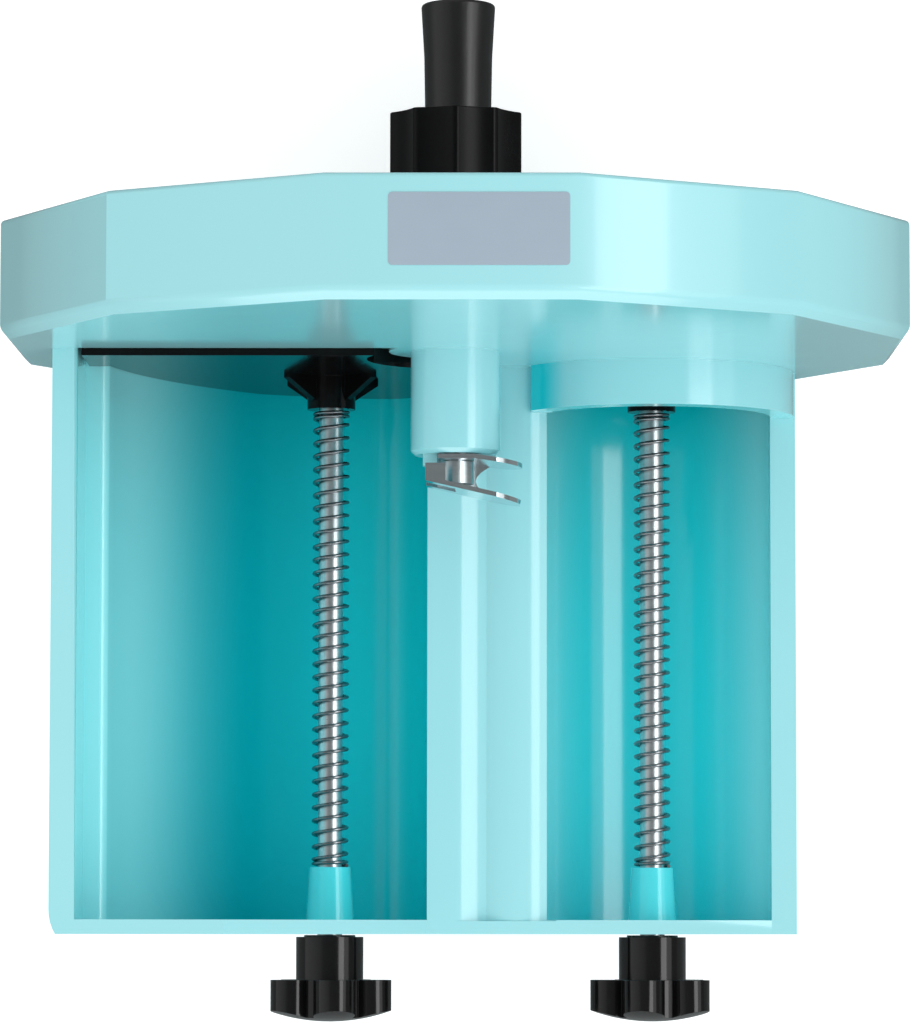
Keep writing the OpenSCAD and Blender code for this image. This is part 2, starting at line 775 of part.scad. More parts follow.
// Bar across the wheel's front that carries the grip
module crank_bar() color(turquoise) place() difference() {
    union() {
        along_y(crank_y, crank_front) {
            circle(r = crank_bar_w / 2 + eye_wall);
            intersection() {
                translate([-crank_bar_w / 2, -ring_r]) square([crank_bar_w, 2 * ring_r]);
                circle(r = ring_r - face_clear);
            }
        }
        for (s = [-1, 1])
            round_y(post_r, blade_y + ring_depth, crank_y, [0, s * post_z]);
        round_y(crank_bar_w / 2 - eye_wall, crank_y, crank_front + grip_boss_h, [0, -crank_r]);
    }
    round_y(sleeve_d / 2 + face_clear, crank_y - cut, crank_front + cut);
    round_y(spindle_d / 2, crank_y - cut, crank_front + grip_boss_h + cut, [0, -crank_r]);
    for (s = [-1, 1]) {
        round_y(bar_screw_d / 2 + run_clear, blade_y, crank_front + cut, [0, s * post_z]);
        cone_y(bar_screw_d / 2, bar_screw_d + cut, crank_front - bar_screw_d / 2, crank_front + cut,
            [0, s * post_z]);
    }
}

module bar_screws() color(steel) place()
    for (s = [-1, 1])
        sunk_screw(bar_screw_d, crank_front - bar_front - cut, crank_front, -1, [0, s * post_z]);

// Knob with narrow ridges and a shallow flute between each two, one ridge on top
module fluted_outline() difference() {
    circle(r = knob_d / 2);
    for (k = [0:knob_ridges - 1])
        rotate(90 + (k + 0.5) * 360 / knob_ridges) translate([flute_at, 0]) circle(r = flute_r);
}

module adjust_knob() color(black_plastic) place() difference() {
    union() {
        round_y(knob_d / 2 - foot_inset, knob_y, knob_y + knob_foot_h);
        along_y(knob_y + knob_foot_h, knob_front) fluted_outline();
    }
    round_y(nut_d / 2, knob_y - cut, knob_y + nut_h);
    round_y(sleeve_d / 2 + face_clear, knob_y - cut, web_front - knob_web);
    round_y(shaft_r + run_clear, knob_y, knob_front + cut);
    round_y(washer_r + loose_gap, web_front, knob_front + cut);
}

module knob_nut() color(brass) place() difference() {
    round_y(nut_d / 2, knob_y, knob_y + nut_h);
    round_y(sleeve_d / 2 + face_clear, knob_y - cut, knob_y + nut_h + cut);
}

module knob_washer() color(steel) place() difference() {
    round_y(washer_r, shaft_front, shaft_front + washer_t);
    round_y(knob_screw_d / 2 + run_clear, shaft_front - cut, shaft_front + washer_t + cut);
}

// Pan head screw with a cross slot
module knob_screw() color(steel) place() {
    head_y = shaft_front + washer_t;
    head_h = knob_screw_d * 0.6;
    slot_w = knob_screw_d / 4;
    difference() {
        union() {
            round_y(knob_screw_d, head_y, head_y + head_h);
            round_y(knob_screw_d / 2, shaft_front - screw_tap + knob_screw_d, head_y);
        }
        for (turn = [0, 90])
            rotate([0, turn, 0]) translate([-head_h, head_y + head_h / 2, -slot_w / 2])
                cube([2 * head_h, head_h, slot_w]);
    }
}

// Shoulder screw that the grip turns on
module grip_spindle() color(black_plastic) place() {
    round_y(spindle_d / 2, crank_y + cut, grip_end + face_clear, [0, -crank_r]);
    round_y(spindle_head_d / 2, grip_end + face_clear, grip_end + face_clear + spindle_head_h, [0, -crank_r]);
}

// Grip, slim at the bar and flared at its free end
module crank_grip() color(black_plastic) place() {
    root_r = grip_root_d / 2;
    tip_r = grip_tip_d / 2;
    waist_y = grip_len * 0.8;
    waist_r = root_r + (tip_r - root_r) * 0.55;
    translate([0, grip_y, -crank_r]) rotate([-90, 0, 0]) rotate_extrude()
        difference() {
            polygon([
                [0, 0], [root_r - grip_edge, 0], [root_r, grip_edge], [waist_r, waist_y],
                [tip_r, grip_len - grip_edge], [tip_r - grip_edge, grip_len], [0, grip_len]
            ]);
            translate([-cut, -cut]) square([spindle_d / 2 + run_clear + cut, grip_len + 2 * cut]);
        }
}

// Four ribs that brace a pusher's boss
module boss_ribs(at) translate([at[0], 0, at[1]]) {
    root = rod_r + cut;
    foot = -pusher_back;
    toe = foot - pusher_rib_t / 2;
    top = foot - pusher_boss_h + pusher_rib_t;
    for (turn = [45:90:315])
        rotate([0, turn, 0]) translate([0, 0, -pusher_rib_t / 2]) linear_extrude(pusher_rib_t)
            polygon([
                [root, foot], [rib_reach, foot], [rib_reach, toe], [pusher_boss_d / 2, top], [root, top]
            ]);
}

// Boss, ribs and plate of a pusher round its rod
module pusher(at) difference() {
    union() {
        along_y(-pusher_back, -pusher_back + pusher_t) children();
        round_y(pusher_boss_d / 2, -pusher_back - pusher_boss_h, -pusher_back, at);
        boss_ribs(at);
    }
    round_y(rod_r, -pusher_back - pusher_boss_h - cut, -pusher_back + pusher_t / 2, at);
}

module large_pusher_plate() color(black_plastic) place() pusher(large_rod) difference() {
    wide_outline(pusher_gap);
    circle(r = hub_ring_r + hub_gap);
}

module small_pusher_plate() color(black_plastic) place() pusher(small_rod) round_outline(tube_r - pusher_gap);

module pusher_rod(at) color(steel) place()
    round_y(rod_r, star_top - star_h / 4, -pusher_back + pusher_t / 2, at);

module large_pusher_rod() pusher_rod(large_rod);

module small_pusher_rod() pusher_rod(small_rod);

module star_outline() {
    lobe_r = star_d / 2 * star_lobe;
    circle(r = star_d / 2 - lobe_r * star_root);
    for (k = [0:star_lobes - 1])
        rotate((k + 0.5) * 360 / star_lobes) translate([star_d / 2 - lobe_r, 0]) circle(r = lobe_r);
}

// Star knob with a domed face, a hub and a stop collar that rests on the end wall
module star_knob(at, turn) color(black_plastic) place() difference() {
    union() {
        round_y(stop_d / 2, star_y - stop_h, star_y, at);
        round_y(star_hub_d / 2, star_top, star_y - stop_h, at);
        intersection() {
            along_y(star_top - star_h, star_top) translate(at) rotate(turn) star_outline();
            translate([at[0], star_top - star_h + star_dome_r, at[1]]) sphere(r = star_dome_r);
        }
    }
    round_y(rod_r, star_top - star_h / 4, star_y + cut, at);
}

module large_pusher_knob() star_knob(large_rod, large_star_turn);

module small_pusher_knob() star_knob(small_rod, small_star_turn);

// Points of a spring's wire: straight ends along the rod, a helix between them
function helix_point(a, y) = [coil_r * cos(a), y, -coil_r * sin(a)];
coil_path = [for (k = [0:coil_steps])
    helix_point(k * 360 / rings_per_turn, coil_from + (coil_to - coil_from) * k / coil_steps)];
spring_path = concat(
    [helix_point(0, spring_from)], coil_path,
    [helix_point(coil_steps * 360 / rings_per_turn, spring_to)]
);

// Least gap between the wire and itself, on points at least half a turn apart
coil_gap = min([for (i = [0:coil_steps - rings_per_turn], j = [4:2 * rings_per_turn])
    if (i + j <= coil_steps) norm(coil_path[i + j] - coil_path[i])]) - wire_d;
echo(least_spring_gap = coil_gap);

function unit(v) = v / norm(v);
function ring_dir(path, i) =
    i == 0 ? unit(path[1] - path[0])
    : i == len(path) - 1 ? unit(path[i] - path[i - 1])
    : unit(unit(path[i + 1] - path[i]) + unit(path[i] - path[i - 1]));
function ring_stretch(path, i) =
    i == 0 || i == len(path) - 1 ? 1 : 1 / (ring_dir(path, i) * unit(path[i] - path[i - 1]));

// Tube of triangles round a spring's path
module wire_tube(path) {
    n = len(path);
    s = wire_sides;
    points = [for (i = [0:n - 1])
        let (out = unit([path[i][0], 0, path[i][2]]), side = cross(ring_dir(path, i), out))
        for (k = [0:s - 1])
            path[i] + wire_d / 2 * (cos(k * 360 / s) * out + sin(k * 360 / s) * side
                * (i == 1 || i == n - 2 ? ring_stretch(path, i) : 1))];
    walls = [for (i = [0:n - 2], k = [0:s - 1])
        let (a = i * s + k, b = i * s + (k + 1) % s)
        each [[a, a + s, b], [b, a + s, b + s]]];
    caps = [for (k = [1:s - 2]) each [[0, k, k + 1], [(n - 1) * s, (n - 1) * s + k + 1, (n - 1) * s + k]]];
    polyhedron(points, concat(walls, caps), convexity = 10);
}

module pusher_spring(at) color(steel) place() translate([at[0], 0, at[1]]) wire_tube(spring_path);

module large_pusher_spring() pusher_spring(large_rod);

module small_pusher_spring() pusher_spring(small_rod);

blade_housing();
feed_chute();
housing_screws();
stand_inserts();
front_bush();
rear_bush();
shaft();
shaft_clip();
cutter_wheel();
drive_pin();
blade_a();
blade_b();
blade_screws();
thickness_plate();
crank_bar();
bar_screws();
adjust_knob();
knob_nut();
knob_washer();
knob_screw();
grip_spindle();
crank_grip();
large_pusher_plate();
large_pusher_rod();
large_pusher_knob();
large_pusher_spring();
small_pusher_plate();
small_pusher_rod();
small_pusher_knob();
small_pusher_spring();
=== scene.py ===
"""Looks of a hand cranked slicer head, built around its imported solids."""
import math

import bmesh
import bpy
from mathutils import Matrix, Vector


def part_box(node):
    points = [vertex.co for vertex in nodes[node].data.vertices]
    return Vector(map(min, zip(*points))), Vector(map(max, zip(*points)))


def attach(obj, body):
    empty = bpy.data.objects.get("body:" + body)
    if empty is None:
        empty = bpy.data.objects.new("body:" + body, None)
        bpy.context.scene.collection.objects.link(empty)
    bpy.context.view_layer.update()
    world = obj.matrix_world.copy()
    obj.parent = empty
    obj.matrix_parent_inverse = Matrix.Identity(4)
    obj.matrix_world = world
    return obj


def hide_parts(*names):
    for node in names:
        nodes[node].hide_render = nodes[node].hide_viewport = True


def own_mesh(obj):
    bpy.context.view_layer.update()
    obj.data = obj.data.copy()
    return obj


MM = 0.001
MERGE = 0.003 * MM
SHAFT = Vector((0, 75, 120)) * MM
HEAD_MIDDLE = Vector((0, -0.02, 0.12))

# The troughs, in mm from the shaft's axis at the tray's rear face
SWEEP_CENTRE, SWEEP_R = Vector((63, 0, 16)), 161.8
TUBE_CENTRE, TUBE_R = Vector((54.4, 0, -54)), 33.2
FEED_R = 108.5
WIDE_LEFT, WIDE_RIGHT = -101.2, -8.5
LEDGE_EDGE, LEDGE = -95.2, -18
LIP = 10
DIVIDER = -36.0
COLLAR = -12.6
END_WALL = -152.5

# The tray's sides, the reach of its rims and the length of a long edge, in mm
TRAY_SIDES, RIM_REACH, LONG_EDGE = 12, 117.5, 50

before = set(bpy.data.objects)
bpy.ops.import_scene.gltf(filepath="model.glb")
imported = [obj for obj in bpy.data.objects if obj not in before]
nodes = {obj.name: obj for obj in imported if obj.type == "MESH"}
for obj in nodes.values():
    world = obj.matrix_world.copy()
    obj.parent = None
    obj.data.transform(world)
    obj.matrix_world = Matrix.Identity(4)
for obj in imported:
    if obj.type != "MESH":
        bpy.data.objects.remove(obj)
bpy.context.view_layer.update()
scene = bpy.context.scene


# Shader maths

class Value:
    """A number, colour or vector on a socket; arithmetic on numbers adds Math nodes."""

    def __init__(self, finish, socket):
        self.finish = finish
        self.socket = socket

    def math(self, operation, *values):
        return self.finish.add("ShaderNodeMath", {"operation": operation}, dict(enumerate(values)))

    def __add__(self, other):
        return self.math("ADD", self, other)

    def __radd__(self, other):
        return self.math("ADD", other, self)

    def __sub__(self, other):
        return self.math("SUBTRACT", self, other)

    def __rsub__(self, other):
        return self.math("SUBTRACT", other, self)

    def __mul__(self, other):
        return self.math("MULTIPLY", self, other)

    def __rmul__(self, other):
        return self.math("MULTIPLY", other, self)

    def at_least(self, least):
        return self.math("MAXIMUM", self, least)

    def above(self, low, high):
        """0 below low, 1 above high, smooth between."""
        return self.finish.add("ShaderNodeMapRange", {"interpolation_type": "SMOOTHSTEP"},
                               {"Value": self, "From Min": low, "From Max": high})


class Shader:
    """A node tree that is written from its start."""

    def __init__(self, tree):
        self.tree = tree
        tree.nodes.clear()

    def add(self, kind, settings=None, inputs=None, output=0):
        """A node of that kind: settings first, then the values or links of its sockets."""
        node = self.tree.nodes.new(kind)
        for key, value in (settings or {}).items():
            if key == "stops":
                ramp = node.color_ramp
                while len(ramp.elements) < len(value):
                    ramp.elements.new(1.0)
                for element, (at, colour) in zip(ramp.elements, value):
                    element.position = at
                    element.color = colour
            else:
                setattr(node, key, value)
        for key, value in (inputs or {}).items():
            if isinstance(value, Value):
                self.tree.links.new(value.socket, node.inputs[key])
            else:
                node.inputs[key].default_value = value
        if not node.outputs:
            return None
        return Value(self, node.outputs[output])

    def blend(self, share, first, second):
        """Colour from first to second by share."""
        ends = {0: share, 6: first, 7: second}
        return self.add("ShaderNodeMix", {"data_type": "RGBA"}, ends, output=2)

    def greys(self, at, stops):
        """Grey level along at, from stops of (place, level)."""
        stops = [(place, rgb(level, level, level)) for place, level in stops]
        return self.add("ShaderNodeValToRGB", {"stops": stops}, {"Fac": at})


class Finish(Shader):
    """One procedural material."""

    def __init__(self, name):
        self.material = bpy.data.materials.new(name)
        self.material.use_nodes = True
        super().__init__(self.material.node_tree)
        self.place = self.add("ShaderNodeTexCoord", output="Object")

    def noise(self, scale, detail, stretch=(1, 1, 1), roughness=0.5):
        at = self.place
        if stretch != (1, 1, 1):
            at = self.add("ShaderNodeMapping", None, {"Vector": at, "Scale": stretch})
        return self.add("ShaderNodeTexNoise", None,
                        {"Vector": at, "Scale": scale, "Detail": detail, "Roughness": roughness})

    def bump(self, height, strength, depth):
        return self.add("ShaderNodeBump", None,
                        {"Height": height, "Strength": strength, "Distance": depth})

    def close(self, **inputs):
        """Principled surface with these sockets, names written with _ for a blank."""
        sockets = {key.replace("_", " "): value for key, value in inputs.items()}
        surface = self.add("ShaderNodeBsdfPrincipled", None, sockets)
        self.add("ShaderNodeOutputMaterial", None, {"Surface": surface})
        return self.material


def rgb(r, g, b):
    return (r, g, b, 1.0)


def turquoise_moulding(name, painted_shade=False):
    """Glossy coloured plastic: faint colour drift, flow marks and a fine moulded skin.

    One with painted shade gets a more vivid painted shade on the marked faces, darker towards the bottom of
    the hollows.
    """
    f = Finish(name)
    drift = f.noise(14, 3)
    flow = f.noise(9, 2, (1, 0.25, 1))
    skin = f.noise(1600, 2)
    coat, rough = 0.6, 0.2
    handled = f.noise(70, 4, roughness=0.6).above(0.55, 0.8)
    tint = f.blend(drift, rgb(0.345, 0.75, 0.8), rgb(0.37, 0.775, 0.825))
    tint = f.blend(flow * 0.2, tint, rgb(0.39, 0.79, 0.84))
    if painted_shade:
        # Painted shade masks: faces lining the troughs, the rod guides and the collar's left end.
        hollow, guide, collar = (f.add("ShaderNodeAttribute", {"attribute_name": mark}, output="Fac")
                                 for mark in ("hollow", "guide", "collar"))
        across, height = (f.add("ShaderNodeSeparateXYZ", None, {0: f.place}, output=axis) for axis in "XZ")
        # Painted shade goes by height; inside the round trough the height is rescaled to that trough's own
        # depth.
        in_tube = across.above(0.0, 0.01)
        height = height + in_tube * (height * 1.6 - 0.06)
        # Painted shade at the collar's left end, fading out towards the right.
        collar_end = collar * (1 - across.above(0.023, 0.031))
        # Share of painted shade: hollows darker towards their bottom, rod guides at 0.8, and the collar's
        # left end.
        depth = hollow * (1 - height.above(0.03, 0.086)) + guide * 0.8 + collar_end
        # Painted shade is darkest on the sweep side, lighter towards the floor and the divider, in between
        # in the round trough, with a random drift.
        lighter_shade = across.above(-0.06, -0.025) * 0.85 - in_tube * 0.5 + drift * 0.15
        # Painted shade: the hollows take a more vivid colour, low in red.
        tint = f.blend(hollow * 0.9, tint, rgb(0.33, 0.93, 0.98))
        tint = f.blend(depth, tint, f.blend(lighter_shade, rgb(0.002, 0.58, 0.66), rgb(0.004, 0.88, 0.95)))
        coat, rough = 0.3 + hollow * 0.3, 0.12
    gloss = rough + drift * 0.04 + handled * 0.02 + skin * 0.03
    return f.close(Base_Color=tint, Roughness=gloss, IOR=1.5, Specular_IOR_Level=0.45,
                   Coat_Weight=coat, Coat_Roughness=0.1, Coat_IOR=1.5,
                   Normal=f.bump(skin, 0.04, 0.03 * MM))


def black_moulding(name, rough, depth, shine):
    """Near-black plastic with a fine spark-eroded skin and slight rub marks."""
    f = Finish(name)
    cloud = f.noise(40, 3)
    skin = f.noise(1900, 3)
    rubbed = f.noise(120, 4, (1, 0.4, 1), 0.65).above(0.56, 0.74)
    tint = f.blend(cloud, rgb(0.0022, 0.0022, 0.0024), rgb(0.005, 0.005, 0.0053))
    tint = f.blend(rubbed * 0.3, tint, rgb(0.011, 0.011, 0.0115))
    gloss = rough + cloud * 0.06 + skin * 0.05 - rubbed * 0.05
    return f.close(Base_Color=tint, Roughness=gloss, IOR=1.5, Specular_IOR_Level=shine,
                   Normal=f.bump(skin, 0.12, depth))


def drawn_metal(name, dark, pale, rough, lines, stretch, bite=0.1):
    """Metal with fine lines: stretch squeezes the noise along the tool's direction."""
    f = Finish(name)
    fine = f.noise(lines, 3, stretch, 0.6)
    broad = f.noise(90, 3, stretch)
    cloud = f.noise(60, 3)
    stain = f.noise(220, 4).above(0.6, 0.8)
    tint = f.blend(fine * 0.6 + broad * 0.4, dark, pale)
    tint = f.blend(stain * 0.25, tint, dark)
    gloss = rough + fine * 0.12 + cloud * 0.06 + stain * 0.06
    return f.close(Base_Color=tint, Metallic=1.0, Roughness=gloss, IOR=2.5,
                   Normal=f.bump(fine, bite, 0.02 * MM))


def plain_moulding(name, first, second, rough):
    """Matt engineering plastic with a fine skin."""
    f = Finish(name)
    cloud = f.noise(30, 3)
    skin = f.noise(1400, 3)
    gloss = rough + cloud * 0.08 + skin * 0.05
    return f.close(Base_Color=f.blend(cloud, first, second), Roughness=gloss, IOR=1.5,
                   Normal=f.bump(skin, 0.1, 0.04 * MM))


def label_film():
    """Blank metallised film with a faint roll direction."""
    f = Finish("label_film")
    roll = f.noise(2400, 2, (0.03, 1, 1))
    cloud = f.noise(120, 3)
    tint = f.blend(cloud * 0.5 + roll * 0.3, rgb(0.335, 0.42, 0.505), rgb(0.375, 0.46, 0.545))
    return f.close(Base_Color=tint, Roughness=0.38 + cloud * 0.08 + roll * 0.06, IOR=1.5,
                   Normal=f.bump(roll, 0.05, 0.01 * MM))


turquoise = turquoise_moulding("turquoise_moulding")
# The turquoise of the troughs, with painted shade in its hollows.
painted_shade_turquoise = turquoise_moulding("painted_shade_turquoise", True)
black = black_moulding("black_moulding", 0.07, 0.012 * MM, 0.46)
knob_black = black_moulding("knob_moulding", 0.24, 0.03 * MM, 0.13)
foot_black = black_moulding("polished_black", 0.05, 0.004 * MM, 0.12)
grip_black = black_moulding("grip_moulding", 0.3, 0.05 * MM, 0.6)
bright_rod = drawn_metal("bright_rod", rgb(0.45, 0.5, 0.52), rgb(0.72, 0.79, 0.81), 0.22, 1500,
                         (0.35, 1, 0.35))
spring_wire = drawn_metal("spring_wire", rgb(0.13, 0.145, 0.15), rgb(0.36, 0.38, 0.4), 0.16, 2600,
                          (1, 0.3, 1))
clip_sheet = drawn_metal("clip_sheet", rgb(0.55, 0.63, 0.66), rgb(0.78, 0.86, 0.89), 0.08, 2200,
                         (0.06, 1, 1))
ground_blade = drawn_metal("ground_blade", rgb(0.48, 0.5, 0.52), rgb(0.78, 0.79, 0.8), 0.18, 2400,
                           (1, 1, 0.05), 0.05)
plated_screw = drawn_metal("plated_screw", rgb(0.4, 0.41, 0.42), rgb(0.66, 0.67, 0.68), 0.24, 2600,
                           (1, 1, 1))
black_oxide = drawn_metal("black_oxide", rgb(0.012, 0.012, 0.013), rgb(0.035, 0.035, 0.037), 0.32, 2200,
                          (1, 0.2, 1))
turned_brass = drawn_metal("turned_brass", rgb(0.45, 0.3, 0.1), rgb(0.72, 0.53, 0.24), 0.22, 2400,
                           (0.3, 1, 0.3))
bush_plastic = plain_moulding("bearing_moulding", rgb(0.66, 0.68, 0.65), rgb(0.76, 0.77, 0.74), 0.42)
wheel_plastic = plain_moulding("wheel_moulding", rgb(0.52, 0.68, 0.7), rgb(0.6, 0.75, 0.77), 0.34)


# Modelling

def only(piece):
    """Selects that object alone."""
    bpy.ops.object.select_all(action="DESELECT")
    piece.select_set(True)
    bpy.context.view_layer.objects.active = piece


def dress(piece, name, body, material, slot, *stands_for):
    """Names a finished piece, gives it its finish and lets it ride."""
    piece.name = name
    piece.data.name = name
    piece.data.materials.clear()
    piece.data.materials.append(material)
    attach(piece, body)
    if stands_for:
        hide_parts(*stands_for)
    return piece


def apply_modifier(piece, kind, **settings):
    only(piece)
    modifier = piece.modifiers.new(kind.lower(), kind)
    for key, value in settings.items():
        setattr(modifier, key, value)
    bpy.ops.object.modifier_apply(modifier=modifier.name)


def round_edges(piece, radius, steps=3, sharp=30):
    """Rounds the edges that turn more than sharp degrees, then smooths the rest."""
    apply_modifier(piece, "BEVEL", width=radius, segments=steps, limit_method="ANGLE",
                   angle_limit=math.radians(sharp), use_clamp_overlap=True, miter_outer="MITER_ARC")
    bpy.ops.object.shade_smooth_by_angle(angle=math.radians(sharp))
    apply_modifier(piece, "WEIGHTED_NORMAL", mode="FACE_AREA", weight=50, keep_sharp=True)


def solid_copy(node):
    """A merged copy of a solid, its flat faces joined up."""
    piece = bpy.data.objects.new(node + "_copy", nodes[node].data.copy())
    scene.collection.objects.link(piece)
    only(piece)
    bpy.ops.mesh.customdata_custom_splitnormals_clear()
    bpy.ops.object.mode_set(mode="EDIT")
    bpy.ops.mesh.select_all(action="SELECT")
    bpy.ops.mesh.remove_doubles(threshold=MERGE)
    bpy.ops.mesh.dissolve_limited(angle_limit=math.radians(0.4))
    bpy.ops.object.mode_set(mode="OBJECT")
    return piece


def rounded(node, name, body, material, slot, radius, steps=3, sharp=30):
    piece = solid_copy(node)
    round_edges(piece, radius, steps, sharp)
    return dress(piece, name, body, material, slot, node)


def soften(piece, chosen, radius):
    """Rounds the edges whose two ends, in mm from the shaft's axis at the tray's rear, pass the test."""
    only(piece)
    bpy.ops.object.mode_set(mode="EDIT")
    bpy.ops.mesh.select_mode(type="EDGE")
    bpy.ops.mesh.select_all(action="DESELECT")
    mesh = bmesh.from_edit_mesh(piece.data)
    for edge in mesh.edges:
        edge.select = chosen(*(from_shaft(end.co) for end in edge.verts))
    bmesh.update_edit_mesh(piece.data)
    bpy.ops.mesh.bevel(offset=radius, segments=4, affect="EDGES", clamp_overlap=True)
    bpy.ops.object.mode_set(mode="OBJECT")


def from_shaft(spot):
    return (spot - SHAFT) / MM


def tray_rim(a, b):
    """The long edges of the tray's chamfered rims."""
    turns = [2 * math.pi * k / TRAY_SIDES for k in range(TRAY_SIDES)]
    sides = [Vector((math.sin(turn), 0, math.cos(turn))) for turn in turns]
    reach = min(max(end.dot(side) for side in sides) for end in (a, b))
    return abs(a.y - b.y) < 0.1 and (a - b).length > LONG_EDGE and reach > RIM_REACH


def along(x, z):
    """Test for an edge that runs along the troughs at that place."""
    def test(a, b):
        off = max(math.hypot(end.x - x, end.z - z) for end in (a, b))
        return abs(a.y - b.y) > LONG_EDGE and off < 0.4

    return test


def cut_away(piece, outline, rear, front):
    """Cuts an outline of (x, z) places, swept along the troughs, out of the piece."""
    curve = bpy.data.curves.new("cutter", "CURVE")
    curve.dimensions = "2D"
    curve.fill_mode = "BOTH"
    curve.extrude = (front - rear) / 2 * MM
    line = curve.splines.new("POLY")
    line.use_cyclic_u = True
    line.points.add(len(outline) - 1)
    for point, (x, z) in zip(line.points, outline):
        point.co = (x * MM, z * MM, 0, 1)
    cutter = bpy.data.objects.new("cutter", curve)
    scene.collection.objects.link(cutter)
    cutter.rotation_euler = (math.pi / 2, 0, 0)
    cutter.location = SHAFT + Vector((0, (rear + front) / 2, 0)) * MM
    only(cutter)
    bpy.ops.object.convert(target="MESH")
    cutter = bpy.context.view_layer.objects.active
    bpy.ops.object.transform_apply(location=True, rotation=True, scale=True)
    bpy.ops.object.mode_set(mode="EDIT")
    bpy.ops.mesh.select_all(action="SELECT")
    bpy.ops.mesh.remove_doubles(threshold=MERGE)
    bpy.ops.mesh.normals_make_consistent(inside=False)
    bpy.ops.object.mode_set(mode="OBJECT")
    apply_modifier(piece, "BOOLEAN", operation="DIFFERENCE", solver="EXACT", object=cutter)
    only(cutter)
    bpy.ops.object.delete()


def valley_cut(piece):
    """Shapes the divider's flat face: a rounded shoulder, a valley and the bead of the tube's rim."""
    clear, bead_x, bead_r, sunk = DIVIDER + 3, 16.5, 15.5, 0.2
    rear, tray_end, collar_end = END_WALL - 0.5, -0.3, COLLAR - 0.1

    def bead(*places):
        return [(x, DIVIDER - sunk - bead_r + math.sqrt(bead_r ** 2 - (x - bead_x) ** 2)) for x in places]

    drops = [(-0.5, 0), (1, 0.15), (2.5, 0.7), (4, 1.4), (5.5, 1.95), (7, 2.3), (8.3, 2.5)]
    left = [(x, DIVIDER - drop) for x, drop in drops] + bead(10, 11.5, 13, 14.5, 16.5, 18.5, 20.5)
    cut_away(piece, left + [(20.5, clear), (-0.5, clear)], rear, tray_end)
    right = bead(20.4, 22, 23.5, 25, 26.5, 27.5)
    cut_away(piece, right + [(27.5, clear), (20.4, clear)], rear, collar_end)


def mark_shaded_faces(piece):
    """Marks with a 1 the faces that line the troughs, those of the rod guides and the collar's left end: the
    masks of the painted shade.
    """
    step_in, guide_r = 1.5, 9
    collar_left, collar_right, collar_r = 20.3, 40, 34
    names = ("hollow", "guide", "collar")
    rods = []
    for side in ("large", "small"):
        low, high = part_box(side + "_pusher_rod")
        rods.append(from_shaft((low + high) / 2))
    for name in names:
        piece.data.attributes.new(name, "FLOAT", "FACE")
    hollow, guide, collar = (piece.data.attributes[name].data for name in names)
    for face in piece.data.polygons:
        middle = from_shaft(face.center)
        spot = middle + face.normal * step_in
        inside = spot.y > END_WALL
        at_rod = min(math.hypot(spot.x - rod.x, spot.z - rod.z) for rod in rods) < guide_r
        on_collar = COLLAR < middle.y < -0.2 and collar_left < middle.x < collar_right
        spot.y = 0
        from_tube = (spot - TUBE_CENTRE).length
        in_sweep = (spot - SWEEP_CENTRE).length < SWEEP_R or spot.z > LEDGE
        in_wide = WIDE_LEFT < spot.x < WIDE_RIGHT and spot.z < LIP and spot.length < FEED_R
        lining = in_sweep and in_wide or from_tube < TUBE_R
        hollow[face.index].value = float(inside and lining and not at_rod)
        guide[face.index].value = float(inside and at_rod)
        collar[face.index].value = float(on_collar and middle.z > TUBE_CENTRE.z and from_tube > collar_r)


def repaint(node, material):
    """A solid whose shape is right keeps it and gets its finish."""
    slots = nodes[node].data.materials
    slots.clear()
    slots.append(material)


def coil_spring(name, node):
    """Closed-end compression spring round its rod."""
    low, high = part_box(node)
    middle = (low + high) / 2
    wire = 0.95 * MM
    reach = (high.x - low.x) / 2 - wire / 2
    turns, per_turn = 37, 24
    steps = turns * per_turn
    dead, ramp, slack, snug = 1.2, 0.6, 0.3, 1.06
    rises = []
    for k in range(steps):
        from_end = min(k, steps - k) / per_turn
        open_share = min(1.0, max(0.0, (from_end - dead) / ramp))
        rises.append(slack + (1 - slack) * open_share)
    tight = 2 * dead * wire * snug
    span = high.y - low.y - wire
    closed = sum(r for r in rises if r <= slack)
    scale_closed = tight / closed
    scale_open = (span - tight) / (sum(rises) - closed)
    path, y = [], low.y + wire / 2
    for k in range(steps + 1):
        turn = 2 * math.pi * k / per_turn
        path.append((middle.x + reach * math.cos(turn), y, middle.z - reach * math.sin(turn)))
        if k < steps:
            y += rises[k] * (scale_closed if rises[k] <= slack else scale_open)
    curve = bpy.data.curves.new(name, "CURVE")
    curve.dimensions = "3D"
    curve.bevel_depth = wire / 2
    curve.bevel_resolution = 2
    curve.use_fill_caps = True
    line = curve.splines.new("POLY")
    line.points.add(len(path) - 1)
    for point, place in zip(line.points, path):
        point.co = (*place, 1)
    piece = bpy.data.objects.new(name, curve)
    scene.collection.objects.link(piece)
    only(piece)
    bpy.ops.object.convert(target="MESH")
    piece = bpy.context.view_layer.objects.active
    bpy.ops.object.shade_smooth_by_angle(angle=math.radians(60))
    dress(piece, name, "frame", spring_wire, "spring_steel", node)
    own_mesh(piece)


def cross_recess(node, name, body, way, arm):
    """Screws whose heads face along way get a cross recess of that arm, in mm."""
    piece = solid_copy(node)
    half = arm / 4
    quarter = [(arm, -half), (arm, half), (half, half)]
    heads = [from_shaft(face.center) for face in piece.data.polygons
             if face.normal.y * way > 0.99 and face.area > (2 * arm * MM) ** 2]
    for head in heads:
        outline = []
        for k in range(4):
            c, s = round(math.cos(k * math.pi / 2)), round(math.sin(k * math.pi / 2))
            outline += [(head.x + x * c - z * s, head.z + x * s + z * c) for x, z in quarter]
        cut_away(piece, outline, head.y - arm / 2, head.y + arm / 2)
    round_edges(piece, 0.12 * MM, 2)
    dress(piece, name, body, plated_screw, "steel_screws", node)


